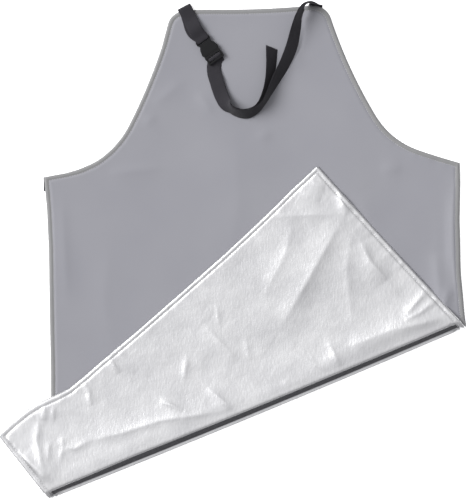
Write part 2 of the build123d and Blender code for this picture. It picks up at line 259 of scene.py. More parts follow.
def inside_outline(points):
    """Which points are inside the cut pattern, by crossings of the edge to their right."""
    inside = np.zeros(len(points), bool)
    for (x0, y0), (dx, dy) in zip(outline, outline_step):
        if dy == 0:
            continue
        crosses = (y0 > points[:, 1]) != (y0 + dy > points[:, 1])
        inside ^= crosses & (points[:, 0] < x0 + (points[:, 1] - y0) / dy * dx)
    return inside


# ---------------------------------------------------------------- how the cloth lies

def ridge(xy, line, rise, left, right, crest=1.0):
    """A fold of the cloth along a line, falling off over left and right mm on its two sides."""
    best = np.full(len(xy), 1e9)
    side = np.zeros(len(xy))
    share = np.zeros(len(xy))
    line = np.array(line, float)
    runs = np.hypot(*np.diff(line, axis=0).T)
    total, done = runs.sum(), 0.0
    for start, step, run in zip(line, np.diff(line, axis=0), runs):
        to = xy - start
        t = np.clip((to @ step) / run ** 2, 0, 1)
        away = to - t[:, None] * step
        gap = np.hypot(*away.T)
        nearer = gap < best
        best = np.where(nearer, gap, best)
        side = np.where(nearer, step[0] * to[:, 1] - step[1] * to[:, 0], side)
        share = np.where(nearer, (done + t * run) / total, share)
        done += run
    reach = np.where(side > 0, left, right)
    fall = np.exp((crest - np.hypot(best, crest)) / reach)
    return rise * fall * np.sin(np.pi * np.clip(share, 0.04, 0.96)) ** 0.7


def rough(xy, size, seed):
    """Soft noise from -1 to 1 over the cloth, with bumps about size mm across."""
    return np.array([noise.noise(Vector((x / size, y / size, seed))) for x, y in xy])


# Creases of the silver flap: line, rise, and how far it falls off to its left and right
FLAP_CREASES = [
    (((20.9, -65.4), (68.2, -63.6), (134.5, -63.7)), 0.9, 6, 9),
    (((136.1, -60.8), (111.5, -101.5), (73.0, -167.0), (34.6, -229.5)), 2.6, 16, 30),
    (((125.0, -31.1), (136.1, -62.3)), 1.6, 14, 4),
    (((155.7, -102.6), (169.7, -135.4), (195.5, -165.5)), 2.4, 10, 16),
    (((254.3, -175.8), (236.1, -196.0), (219.4, -214.8)), 1.6, 5, 8),
    (((265.7, -192.3), (241.6, -210.9), (214.7, -225.0)), 1.4, 5, 7),
    (((129.7, -261.3), (196.7, -236.4), (278.3, -220.7)), 2.2, 12, 22),
    (((-288.1, -397.2), (-270.4, -399.1), (-252.5, -389.2)), 0.9, 4, 4),
    (((-288.1, -397.2), (-290.7, -382.4)), 0.7, 3, 3),
    (((-288.1, -397.2), (-294.5, -416.2)), 0.7, 3, 3),
    (((-252.5, -389.2), (-205.0, -378.6), (-145.6, -360.9), (-47.9, -348.5)), 1.7, 10, 9),
    (((-322.4, -353.6), (-327.6, -385.9), (-318.4, -430.4)), 1.5, 7, 5),
    (((-308.5, -386.4), (-312.2, -418.8)), 0.8, 4, 4),
    (((-147.8, -329.8), (-109.8, -347.0)), 1.4, 4, 6),
    (((-76.5, -312.4), (-53.5, -333.6), (-31.9, -356.2)), 1.6, 7, 9),
    (((-80.2, -219.3), (-54.3, -248.0), (-25.6, -278.2)), 1.3, 9, 12),
    (((-103.5, -266.0), (-108.8, -302.7)), 1.0, 5, 5),
    (((105.0, -248.9), (116.1, -275.7), (127.2, -304.0)), 1.3, 9, 7),
    (((57.3, -269.9), (84.9, -283.8), (115.6, -297.9)), 1.0, 6, 8),
    (((37.2, -304.8), (55.9, -327.4)), 0.9, 4, 4),
    (((14.5, -330.8), (17.0, -347.1)), 0.8, 4, 4),
    (((-57.4, -190.4), (-55.3, -225.8)), 0.6, 4, 4),
    (((-17.3, -243.0), (-10.8, -278.6)), 0.7, 6, 6),
    (((-221.4, -263.1), (-202.9, -291.6)), 1.3, 4, 3),
    (((-257.7, -299.1), (-249.3, -317.0), (-246.9, -339.2)), 1.2, 5, 4),
    (((-314.6, -334.6), (-316.7, -359.6)), 0.9, 4, 4),
    (((-301.4, -336.4), (-303.4, -358.5)), 0.8, 3, 3),
    (((82.6, -15.3), (107.5, -23.3)), 1.2, 5, 8),
    (((66.1, -26.7), (101.1, -42.3)), 0.9, 8, 12),
    (((56.1, -73.6), (46.2, -117.7), (9.1, -187.6)), 1.2, 18, 14),
    (((144.2, -90.5), (134.0, -146.4), (141.1, -220.3)), 1.0, 12, 14),
    (((-351.0, -404.0), (-330.0, -427.0), (-306.0, -453.0)), 2.2, 16, 3),
]
PANEL_CREASES = [
    (((-282.1, -27.1), (-282.2, -92.0), (-278.5, -183.5)), 1.1, 10, 16),
    (((-163.0, 76.2), (-145.0, 90.6)), 0.8, 6, 8),
    (((-217.8, 8.2), (-173.4, 11.6), (-132.1, 12.1)), 0.9, 8, 10),
    (((-149.1, 103.9), (-126.5, 121.1), (-100.9, 141.1)), 0.8, 8, 10),
    (((6.0, 51.5), (29.8, 58.3)), 0.7, 6, 6),
    (((-80.8, 121.5), (-69.3, 106.4), (-56.5, 88.4)), 0.9, 7, 7),
    (((187.7, -1.6), (220.1, -2.4)), 0.9, 9, 9),
    (((297.0, -30.0), (294.0, -60.0), (292.5, -125.0), (297.0, -160.0), (300.5, -195.0)), 1.7, 12, 4),
    (((256.1, -220.1), (278.7, -203.0), (288.3, -172.2)), 2.4, 8, 5),
    (((267.4, -120.1), (271.9, -179.2), (259.3, -211.4)), 2.0, 22, 9),
    (((224.0, 34.4), (247.1, 16.1), (276.4, 5.1)), 0.9, 9, 8),
    (((68.2, 179.8), (73.3, 150.2)), 0.6, 9, 9),
    (((-212.9, -93.7), (-223.9, -181.9), (-213.9, -255.9)), 0.9, 30, 30),
    (((-25.0, 49.3), (-22.7, -39.3), (-39.6, -127.4)), 0.8, 34, 40),
    (((157.5, -28.9), (173.8, -88.3), (213.6, -148.3)), 0.9, 30, 30),
]


def crease_edge(along):
    """Where the outside of the fold lies, from the crease line towards the bib, and its half depth."""
    start = -3.23 + 0.01314 * along - 2.0 * np.clip(1 - (along / 300) ** 2, 0, 1)
    return start, np.interp(along, (-340, -270, -190, -40, 300), (13.0, 14.0, 16.0, 15.0, 14.0))


# The fold's section: share of the turn from the panel to the flap, share of the depth, height
SECTION = (
    (-1.0, 1.00, 0.0), (-0.55, 0.42, 0.0), (-0.25, 0.08, 0.1), (-0.08, 0.0, 0.9),
    (0.05, 0.01, 2.1), (0.12, 0.07, 2.5), (0.34, 0.30, 2.5), (0.42, 0.37, 3.1),
    (0.60, 0.56, 5.6), (0.80, 0.77, 8.3), (0.90, 0.88, 9.5), (1.0, 1.0, 10.0),
)
ROUND_SECTION = (
    (-1.0, 1.00, 0.0), (-0.6, 0.50, 0.0), (-0.35, 0.20, 0.4), (-0.14, 0.03, 1.9),
    (0.0, 0.0, 3.4), (0.14, 0.05, 4.8), (0.34, 0.22, 6.5), (0.6, 0.52, 8.3),
    (0.80, 0.77, 9.4), (0.90, 0.89, 9.8), (1.0, 1.0, 10.0),
)


def fold_section(turn, section, depth, inwards):
    """(reach from the outside of the fold, height) round the fold, moved inwards square to the section."""
    share, reach, height = np.array(section).T
    fine = np.linspace(-1, 1, 161)
    reach, height = np.interp(fine, share, reach), np.interp(fine, share, height)
    for _ in range(14):
        reach[1:-1] = (reach[:-2] + 2 * reach[1:-1] + reach[2:]) / 4
        height[1:-1] = (height[:-2] + 2 * height[1:-1] + height[2:]) / 4
    across = np.gradient(reach)[None, :] * depth[:, None]
    upward = np.broadcast_to(np.gradient(height), across.shape)
    size = np.hypot(across, upward)
    place = (turn + 1) * 80
    low = np.clip(place.astype(int), 0, 159)
    part = place - low
    rows = np.arange(len(turn))

    def at(values):
        return values[rows, low] * (1 - part) + values[rows, low + 1] * part

    reach = np.broadcast_to(reach, across.shape)
    height = np.broadcast_to(height, across.shape)
    return at(reach) * depth + inwards * at(upward / size), at(height) - inwards * at(across / size)


def pinch(edge):
    """The layers' spread about the middle: none at the sewn edge, plump in the hem, tight at its stitches."""
    spread = np.sqrt(1 - np.clip(1 - edge / 2.4, 0, 1) ** 2)
    hem = 0.22 * np.sin(np.pi * np.clip(edge / STITCH_INSET, 0, 1)) ** 2
    stitch = -0.30 * np.exp(-(((edge - STITCH_INSET) / 1.1) ** 2))
    beyond = 0.20 * np.exp(-np.clip(edge - STITCH_INSET - 3, 0, None) / 7) * (edge > STITCH_INSET)
    beyond *= smooth((edge - STITCH_INSET) / 3)
    return spread + hem + stitch + beyond


def puckers(at, edge, strength, seed):
    """Small gathers square to the stitch line."""
    where = np.c_[at, np.full(len(at), 0.0)]
    wave = rough(where, 7.5, seed) + 0.6 * rough(where, 17.0, seed + 5)
    return strength * wave * np.exp(-np.abs(edge - STITCH_INSET) / 7) * smooth(edge / 3)


def lie(points, level, edge=None, at=None):
    """Where pattern points of the layer at that level (0 back face, THICK front face) lie, in mm."""
    if edge is None:
        edge, at = edge_distance(points)
    along, from_crease = fold_coordinates(points)
    spread = MIDDLE + (level - MIDDLE) * pinch(edge)
    start, depth = crease_edge(along)
    near = smooth(1 - (from_crease - TURN) / PULL_REACH)
    stretched = along + (0.0195 * along - 2.2) * near
    turned = np.zeros(len(points))
    height = np.where(from_crease > 0, spread, FOLD_TOP - spread)
    bent = np.abs(from_crease) < TURN + 0.01
    if bent.any():
        turn = np.clip(-from_crease[bent] / TURN, -1, 1)
        loose = smooth(edge[bent] / HEM_EASE) if level < COVER + 0.01 else 0.0
        inwards = spread[bent]
        tight = (LIP - 0.9 * inwards) * smooth(edge[bent] / HEM_EASE) if level > COVER else 0.0
        lipped = fold_section(turn, SECTION, depth[bent], inwards)
        plain = fold_section(turn, ROUND_SECTION, depth[bent] - tight, inwards)
        turned[bent] = start[bent] + loose * lipped[0] + (1 - loose) * (plain[0] + tight)
        height[bent] = loose * lipped[1] + (1 - loose) * plain[1]
    out = np.clip(-from_crease - TURN, 0, None)
    grow = np.interp(along, *FLAP_GROWTH)
    inward = np.where(
        from_crease > TURN,
        from_crease + (start + depth - TURN) * near,
        np.where(bent, turned, start + depth + out * grow),
    )
    xy = FOLD_AT + stretched[:, None] * ALONG + inward[:, None] * ACROSS
    clear = smooth((np.abs(from_crease) - TURN) / WRINKLE_START)
    on_flap = from_crease < -TURN
    rest = np.exp(-((out / SETTLE_REACH) ** 1.5))
    lift = np.zeros(len(points))
    flap_xy, panel_xy = xy[on_flap], xy[~on_flap]
    lift[on_flap] = flap_lift(flap_xy) - SINK * (1 - rest[on_flap])
    lift[~on_flap] = panel_lift(panel_xy)
    skin = np.abs(level - MIDDLE) / MIDDLE
    gathers = puckers(at, edge, np.where(on_flap, 0.55, 0.32), 3.0) * skin
    height = height + clear * (lift + gathers)
    return np.c_[xy + side_sway(points), np.maximum(height, 0)]


def side_sway(points):
    """The edges don't hang quite as they were cut: how far the cloth is pulled aside near them."""
    x, y = points.T
    places = (-280, -232, -208, -158, -124, -82, -35, 0)
    right = np.interp(y, places, (0, 0, -1.8, -2.8, -1.8, -2.0, 0.0, 0.4))
    left = np.interp(y, (-330, -283, -180, -106, -50, -20, 0), (-0.6, 0.2, 0.8, 1.6, 0.4, -1.6, -3.0))
    pull = right * smooth((x - 220) / 85) + left * smooth((-220 - x) / 85)
    left_arm = np.interp(y, (-4, 10, 190, 225, 244), (0, 1, 1, 0.3, 0)) * smooth((-40 - x) / 70)
    right_arm = smooth((x - 110) / 195) * smooth((y + 160) / 160)
    places = (-305, -292, -278, -258, -230, -205, -180, -150, -90)
    drop = np.interp(x, places, (1.8, 0.5, -1.5, -3.6, -3.8, -2.6, -1.5, -0.5, 0))
    drop = drop * smooth((y + 90) / 90)
    corner = np.exp(-(np.hypot(x + 100, y - 246) / 26) ** 2)
    return np.c_[
        pull + 2.4 * left_arm + 1.6 * corner,
        7.5 * right_arm - 1.5 * left_arm + drop - 2.6 * corner,
    ]


def flap_lift(xy):
    lift = 0.45 * rough(xy, 34.0, 1.0) + 0.16 * rough(xy, 13.0, 21.0) + 0.6
    for line, rise, left, right in FLAP_CREASES:
        lift = lift + ridge(xy, line, 1.25 * rise, left, right, 0.8)
    return np.clip(lift, 0, None)


def panel_lift(xy):
    lift = 0.8 + 1.0 * rough(xy, 95.0, 9.0)
    for line, rise, left, right in PANEL_CREASES:
        lift = lift + ridge(xy, line, 1.5 * rise, left, right, 2.0)
    return np.clip(lift, 0, None)


# ---------------------------------------------------------------- meshes

def vertex_normals(points, faces):
    a, b, c = (points[faces[:, i]] for i in range(3))
    face = np.cross(b - a, c - a)
    normals = np.zeros_like(points)
    for i in range(3):
        np.add.at(normals, faces[:, i], face)
    return normals


def make_mesh(name, points, faces, normals=None, uv=None, edge=None):
    """A mesh object from points in mm, with smooth shading."""
    mesh = bpy.data.meshes.new(name)
    mesh.from_pydata((points * MM).tolist(), [], [list(map(int, f)) for f in faces])
    mesh.update()
    if uv is not None:
        layer = mesh.uv_layers.new(name="pattern")
        corner = np.zeros(len(mesh.loops), int)
        mesh.loops.foreach_get("vertex_index", corner)
        layer.data.foreach_set("uv", (uv[corner] * MM).astype(np.float32).ravel())
    if edge is not None:
        attribute = mesh.attributes.new("edge", "FLOAT", "POINT")
        attribute.data.foreach_set("value", edge.astype(np.float32))
    mesh.polygons.foreach_set("use_smooth", np.ones(len(mesh.polygons), bool))
    if normals is not None:
        unit = normals / np.maximum(np.linalg.norm(normals, axis=1), 1e-12)[:, None]
        mesh.normals_split_custom_set_from_vertices(unit.tolist())
    obj = bpy.data.objects.new(name, mesh)
    bpy.context.scene.collection.objects.link(obj)
    return obj


def layer_of_cloth(title, made, outer, inner):
    """Closed pieces of one layer, for the panel, the fold and the flap, shaded as one surface."""
    laid = {}
    for part, (points, faces) in made.items():
        edge, at = edge_distance(points)
        laid[part] = (points, faces, edge, lie(points, outer, edge, at), lie(points, inner, edge, at))
    keys = np.concatenate([np.round(points, 2) for points, *_ in laid.values()])
    _, shared = np.unique(keys, axis=0, return_inverse=True)
    shared = shared.ravel()
    total = np.zeros((shared.max() + 1, 3))
    start = 0
    spans = {}
    for part, (points, faces, _, top, _) in laid.items():
        spans[part] = shared[start: start + len(points)]
        np.add.at(total, spans[part], vertex_normals(top, faces))
        start += len(points)
    sign = 1 if outer > inner else -1
    pieces = {}
    for part, (points, faces, edge, top, bottom) in laid.items():
        count = len(points)
        pairs = np.concatenate([faces[:, [0, 1]], faces[:, [1, 2]], faces[:, [2, 0]]])
        _, back, uses = np.unique(np.sort(pairs, 1), axis=0, return_inverse=True, return_counts=True)
        rim = pairs[uses[back.ravel()] == 1]
        walls = np.c_[rim[:, 1], rim[:, 0], rim[:, 0] + count, rim[:, 1] + count]
        skin = [*faces, *(faces[:, ::-1] + count), *walls]
        if sign < 0:
            skin = [face[::-1] for face in skin]
        normals = sign * total[spans[part]]
        pieces[part] = make_mesh(
            f"{title}_{part}_cloth", np.concatenate([top, bottom]), skin, np.concatenate([normals, -normals]),
            np.concatenate([points, points]), np.concatenate([edge, edge]),
        )
    return pieces


def set_riding(pieces):
    """The panel's and flap's pieces ride on their bodies; the fold's pieces stay where they lie, with their
    placement baked in.

    The CAD parts that the pieces stand for are hidden."""
    for part, obj in pieces.items():
        if part == "fold":
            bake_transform(obj)
        else:
            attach(obj, PANEL if part == "panel" else FLAP)
        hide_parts(obj.name.removesuffix("_cloth"))


# ---------------------------------------------------------------- materials

def new_material(name, colour, roughness, metallic=0.0, specular=0.5):
    material = bpy.data.materials.new(name)
    material.use_nodes = True
    tree = material.node_tree
    shader = tree.nodes["Principled BSDF"]
    shader.inputs["Base Color"].default_value = (*colour, 1)
    shader.inputs["Roughness"].default_value = roughness
    shader.inputs["Metallic"].default_value = metallic
    shader.inputs["Specular IOR Level"].default_value = specular
    return material, tree, shader


def node(tree, kind, inputs=(), **settings):
    made = tree.nodes.new(kind)
    for key, value in settings.items():
        setattr(made, key, value)
    for key, value in dict(inputs).items():
        if isinstance(value, bpy.types.NodeSocket):
            tree.links.new(value, made.inputs[key])
        else:
            made.inputs[key].default_value = value
    return made


def spread_texture(tree, scale, stretch=(1, 1, 1), turn=0.0, detail=2.0):
    """Noise over the pattern in metres, turned and then stretched."""
    place = node(tree, "ShaderNodeUVMap", uv_map="pattern").outputs["UV"]
    facts = {"Vector": place, "Rotation": (0, 0, turn), "Scale": stretch}
    turned = node(tree, "ShaderNodeMapping", facts, vector_type="TEXTURE")
    return node(tree, "ShaderNodeTexNoise", {"Vector": turned.outputs[0], "Scale": scale, "Detail": detail})


def ramp(tree, factor, low, high, first, last):
    made = node(tree, "ShaderNodeValToRGB", {"Fac": factor})
    made.color_ramp.elements[0].position = low
    made.color_ramp.elements[1].position = high
    made.color_ramp.elements[0].color = (*first, 1)
    made.color_ramp.elements[1].color = (*last, 1)
    return made.outputs["Color"]


def grey_nylon():
    material, tree, shader = new_material("grey_coated_nylon", (0.2, 0.2, 0.22), 0.62, specular=0.3)
    cloud = spread_texture(tree, 9.0)
    colour = ramp(tree, cloud.outputs["Fac"], 0.3, 0.7, (0.262, 0.262, 0.290), (0.278, 0.278, 0.304))
    edge = node(tree, "ShaderNodeAttribute", attribute_name="edge").outputs["Fac"]
    band = node(tree, "ShaderNodeMapRange", {"Value": edge, "From Min": 6.3, "From Max": 7.6})
    mixed = node(tree, "ShaderNodeMix", {"Factor": band.outputs[0]}, data_type="RGBA")
    mix_colours(tree, mixed, (0.240, 0.240, 0.243, 1), colour)
    tree.links.new(mixed.outputs[2], shader.inputs["Base Color"])
    weave = spread_texture(tree, 900.0, (1, 1, 1))
    relief = {"Height": weave.outputs["Fac"], "Strength": 0.08, "Distance": 0.0004}
    bump = node(tree, "ShaderNodeBump", relief)
    tree.links.new(bump.outputs[0], shader.inputs["Normal"])
    shader.inputs["Sheen Weight"].default_value = 0.08
    return material


def mix_colours(tree, mixed, first, last):
    """Sets the colour sockets of a Mix node, which share their names with its other kinds."""
    for index, value in ((6, first), (7, last)):
        if isinstance(value, bpy.types.NodeSocket):
            tree.links.new(value, mixed.inputs[index])
        else:
            mixed.inputs[index].default_value = value


# The silver cloth's grain, in the pattern: it runs up the flap once that is folded up
SILVER_GRAIN = math.radians(40.6)


def silver_fabric():
    material, tree, shader = new_material("aluminised_fabric", (0.86, 0.86, 0.87), 0.33, metallic=0.92)
    streaks = spread_texture(tree, 620.0, (1, 7, 1), SILVER_GRAIN, 2.0)
    mottle = spread_texture(tree, 260.0, (1, 1.8, 1), SILVER_GRAIN, 4.0)
    cloud = spread_texture(tree, 20.0, detail=5.0)
    patch = ramp(tree, cloud.outputs["Fac"], 0.35, 0.70, (0.86, 0.86, 0.87), (0.74, 0.74, 0.755))
    dull = ramp(tree, streaks.outputs["Fac"], 0.35, 0.65, (0.94, 0.94, 0.94), (1.0, 1.0, 1.0))
    both = node(tree, "ShaderNodeMix", {"Factor": 1.0}, data_type="RGBA", blend_type="MULTIPLY")
    mix_colours(tree, both, patch, dull)
    tree.links.new(both.outputs[2], shader.inputs["Base Color"])
    relief = {"Height": mottle.outputs["Fac"], "Strength": 0.28, "Distance": 0.0010}
    coarse = node(tree, "ShaderNodeBump", relief)
    relief = {"Height": streaks.outputs["Fac"], "Strength": 0.16, "Distance": 0.0006}
    bump = node(tree, "ShaderNodeBump", {**relief, "Normal": coarse.outputs[0]})
    tree.links.new(bump.outputs[0], shader.inputs["Normal"])
    return material


def black_webbing():
    material, tree, shader = new_material("black_webbing", (0.024, 0.023, 0.026), 0.8, specular=0.25)
    place = node(tree, "ShaderNodeUVMap", uv_map="pattern").outputs["UV"]
    ribs = node(tree, "ShaderNodeTexWave", {"Vector": place, "Scale": 400.0, "Distortion": 0.6, "Detail": 1.0})
    fibres = spread_texture(tree, 1500.0, (1, 0.3, 1))
    colour = ramp(tree, fibres.outputs["Fac"], 0.3, 0.7, (0.015, 0.014, 0.018), (0.029, 0.027, 0.033))
    tree.links.new(colour, shader.inputs["Base Color"])
    relief = {"Height": ribs.outputs["Fac"], "Strength": 0.4, "Distance": 0.0004}
    bump = node(tree, "ShaderNodeBump", relief)
    tree.links.new(bump.outputs[0], shader.inputs["Normal"])
    shader.inputs["Sheen Weight"].default_value = 0.15
    return material


def plain_material(name, colour, roughness, grain, strength, specular=0.4):
    """A matt or satin material with fine grain in its colour and surface, placed by the object."""
    material, tree, shader = new_material(name, colour, roughness, specular=specular)
    place = node(tree, "ShaderNodeTexCoord").outputs["Object"]
    texture = node(tree, "ShaderNodeTexNoise", {"Vector": place, "Scale": grain, "Detail": 3.0})
    low, high = (tuple(c * k for c in colour) for k in (0.85, 1.15))
    tree.links.new(ramp(tree, texture.outputs["Fac"], 0.3, 0.7, low, high), shader.inputs["Base Color"])
    relief = {"Height": texture.outputs["Fac"], "Strength": strength, "Distance": 0.0003}
    bump = node(tree, "ShaderNodeBump", relief)
    tree.links.new(bump.outputs[0], shader.inputs["Normal"])
    return material


def dress(obj, material):
    obj.data.materials.clear()
    obj.data.materials.append(material)


grey, silver, webbing_cloth = grey_nylon(), silver_fabric(), black_webbing()
vinyl = plain_material("lead_vinyl", (0.05, 0.05, 0.055), 0.6, 300.0, 0.2)
allowance = plain_material("seam_allowance", (0.2, 0.2, 0.21), 0.7, 900.0, 0.2)
grey_thread = plain_material("grey_thread", (0.42, 0.42, 0.44), 0.6, 3000.0, 0.3)
silver_thread = plain_material("silver_thread", (0.42, 0.42, 0.43), 0.5, 3000.0, 0.3)
plastic = plain_material("buckle_plastic", (0.006, 0.006, 0.007), 0.42, 900.0, 0.12, 0.22)

# ---------------------------------------------------------------- the apron's cloth

HEM_LOOPS = (1.0, 2.1, 3.4, 4.8, 6.0, 7.0, 8.0, 9.4, 11.6, 14.4)
cloth = regions({"panel": 5.0, "flap": 2.4}, HEM_LOOPS)
core = regions({"panel": 6.0, "flap": 5.0}, (), SHEET_INSET)
back = layer_of_cloth("back_cover", cloth, 0.0, COVER)
front = layer_of_cloth("front_cover", cloth, THICK, THICK - COVER)
for pieces, name, material in ((back, "aluminised_fabric", silver), (front, "grey_coated_nylon", grey)):
    set_riding(pieces)
    for obj in pieces.values():
        dress(obj, material)
for title, low, high in (("shielding_sheet_back", 0.6, 1.4), ("shielding_sheet_front", 1.6, 2.4)):
    pieces = layer_of_cloth(title, core, high, low)
    set_riding(pieces)
    for obj in pieces.values():
        dress(obj, vinyl)


# Webbing sewn into the hem: where, turned by, half its width with room, how deep
SEWN_IN = (
    (-96.7, 248.0, 25.9, 13.0, 15.0), (97.3, 246.0, -20.0, 14.0, 15.0), (-305.0, -10.0, 90.0, 14.0, 12.0),
    (305.0, -14.0, -90.0, 14.0, 12.0),
)


def hem_band(points, faces):
    """The part of a pattern mesh inside the hem, clear of the webbing sewn into it."""
    edge = edge_distance(points)[0]
    inside = (edge > 0.95) & (edge < 8.05)
    for x, y, turn, half, deep in SEWN_IN:
        c, s = math.cos(math.radians(turn)), math.sin(math.radians(turn))
        to = points - (x, y)
        inside &= (np.abs(c * to[:, 0] + s * to[:, 1]) > half) | (c * to[:, 1] - s * to[:, 0] < -deep)
    faces = faces[inside[faces].all(1)]
    used, faces = np.unique(faces, return_inverse=True)
    return points[used], faces.reshape(-1, 3)


hem = {part: hem_band(*made) for part, made in cloth.items()}
pieces = layer_of_cloth("seam_allowance", hem, 2.3, 0.7)
set_riding(pieces)
for obj in pieces.values():
    dress(obj, allowance)


# ---------------------------------------------------------------- webbing

WEBBING_WIDTH, WEBBING = 20.8, 1.0
ANCHOR_DEPTH = 12.0
TURN_AXIS_Z = THICK - COVER + 1.5


def place_at(origin, turn):
    """A function from local to row coordinates, for a frame turned about Z."""
    c, s = math.cos(math.radians(turn)), math.sin(math.radians(turn))
    return lambda x, y, z: np.array([origin[0] + c * x - s * y, origin[1] + s * x + c * y, origin[2] + z])


at_left_root = place_at((-94.3, 244.7, 0.0), 26.1)
at_right_root = place_at((98.3, 244.0, 0.0), -14.0)
at_buckle = place_at((-70.0, 198.5, THICK + 0.3), -146.0)
BAR, BAR_R = (1.8, 3.7), 1.4
LADDER, LADDER_R = (31.8, 4.2), 1.3

# The long side of the neck strap, close to the CAD model's: x, y, lift of the lower edge above the
# cover, and roll in degrees, which raises the edge on the left of the way the route runs
LONG_ROUTE = (
    (-53.2, 159.0, 1.6, 0.0),
    (-53.2, 149.0, 2.2, 2.0),
    (-49.9, 136.0, 2.6, 6.0),
    (-44.6, 118.0, 2.6, 10.0),
    (-38.6, 104.0, 2.4, 26.0),
    (-31.5, 94.5, 1.9, 62.0),
    (-20.0, 88.0, 1.8, 60.0),
    (-7.0, 86.3, 1.8, 54.0),
    (8.0, 92.5, 1.6, 62.0),
    (18.5, 103.0, 1.2, 70.0),
    (26.5, 116.0, 0.8, 66.0),
    (36.5, 134.5, 0.8, 52.0),
    (50.0, 158.0, 2.0, 40.0),
    (61.5, 184.0, 4.6, 34.0),
    (68.5, 211.0, 7.0, 46.0),
    (73.5, 230.0, 8.5, 62.0),
    (80.5, 242.5, 9.3, 74.0),
)
TAIL_LEAVES_AT = 9
TAIL_ROUTE = (
    (22.5, 118.5, 0.5, 58.0),
    (27.4, 136.5, 0.5, 54.0),
    (30.8, 158.5, 0.5, 44.0),
    (32.2, 184.0, 0.5, 34.0),
)
TAIL_SPACING = WEBBING + 1.0


def rolled(route):
    """Stations (centre, across) of webbing along a route."""
    points = []
    for x, y, lift, roll in route:
        roll = math.radians(roll)
        half = WEBBING_WIDTH / 2 * math.sin(roll) + WEBBING / 2 * math.cos(roll)
        points.append(np.array([x, y, THICK + lift + half]))
    stations = []
    for i, point in enumerate(points):
        way = points[min(i + 1, len(points) - 1)] - points[max(i - 1, 0)]
        left = np.array([-way[1], way[0], 0]) / math.hypot(way[0], way[1])
        roll = math.radians(route[i][3])
        stations.append((point, left * math.cos(roll) + np.array([0, 0, math.sin(roll)])))
    return stations


def moved_square(stations, distance):
    """The same stations moved square to the webbing's face."""
    moved = []
    for i, (point, across) in enumerate(stations):
        way = stations[min(i + 1, len(stations) - 1)][0] - stations[max(i - 1, 0)][0]
        face = np.cross(way, across)
        moved.append((point + distance * face / np.linalg.norm(face), across))
    return moved


def round_arc(place, centre, radius, start, end, across, count=9):
    """Stations round a bar or an edge: centre is (y, z), angles in degrees from +Y towards +Z."""
    made = []
    for angle in np.radians(np.linspace(start, end, count)):
        y, z = centre[0] + radius * math.cos(angle), centre[1] + radius * math.sin(angle)
        made.append((place(0, y, z), across))
    return made


def smooth_path(stations, step=2.0):
    """Centres and across vectors on a smooth curve through the stations, closely spaced."""
    points = np.array([point for point, _ in stations], float)
    ways = np.array([across for _, across in stations], float)
    ways /= np.linalg.norm(ways, axis=1)[:, None]
    gap = np.linalg.norm(np.diff(points, axis=0), axis=1)
    at = np.concatenate([[0], np.cumsum(gap)])
    both = np.c_[points, ways]
    slope = np.gradient(both, at, axis=0)
    centres = []
    for i in range(len(gap)):
        t = np.linspace(0, 1, max(2, math.ceil(gap[i] / step)) + 1)[1 if i else 0:, None]
        h00, h10 = 2 * t ** 3 - 3 * t ** 2 + 1, t ** 3 - 2 * t ** 2 + t
        h01, h11 = 1 - h00, t ** 3 - t ** 2
        places = h00 * both[i] + h10 * gap[i] * slope[i] + h01 * both[i + 1] + h11 * gap[i] * slope[i + 1]
        centres.append(places)
    centres = np.concatenate(centres)
    return centres[:, :3], centres[:, 3:]


def ribbon(name, stations, slant=0.0):
    """Webbing with rounded selvedges along the stations, its first end cut at a slant."""
    centres, ways = smooth_path(stations)
    tangent = np.gradient(centres, axis=0)
    tangent /= np.linalg.norm(tangent, axis=1)[:, None]
    ways = ways - (ways * tangent).sum(1)[:, None] * tangent
    ways /= np.linalg.norm(ways, axis=1)[:, None]
    face = np.cross(tangent, ways)
    run = np.concatenate([[0], np.cumsum(np.linalg.norm(np.diff(centres, axis=0), axis=1))])
    across = np.sin(np.linspace(-math.pi / 2, math.pi / 2, 9))
    half = WEBBING / 2 * (1 - across ** 8 * 0.75)
    profile = np.r_[np.c_[across, half], np.c_[across, -half][::-1]]
    rings = []
    uv = []
    for i, centre in enumerate(centres):
        shift = slant * profile[:, :1] * max(0, 1 - run[i] / 14) * tangent[i]
        rings.append(centre + profile[:, :1] * WEBBING_WIDTH / 2 * ways[i] + profile[:, 1:] * face[i] + shift)
        uv.append(np.c_[np.full(len(profile), run[i]), profile[:, 0] * WEBBING_WIDTH / 2])
    size = len(profile)
    faces = []
    for i in range(len(rings) - 1):
        for j in range(size):
            k = (j + 1) % size
            faces.append((i * size + j, i * size + k, (i + 1) * size + k, (i + 1) * size + j))
    faces.append(tuple(range(size))[::-1])
    faces.append(tuple(range((len(rings) - 1) * size, len(rings) * size)))
    return make_mesh(name, np.concatenate(rings), faces, uv=np.concatenate(uv))


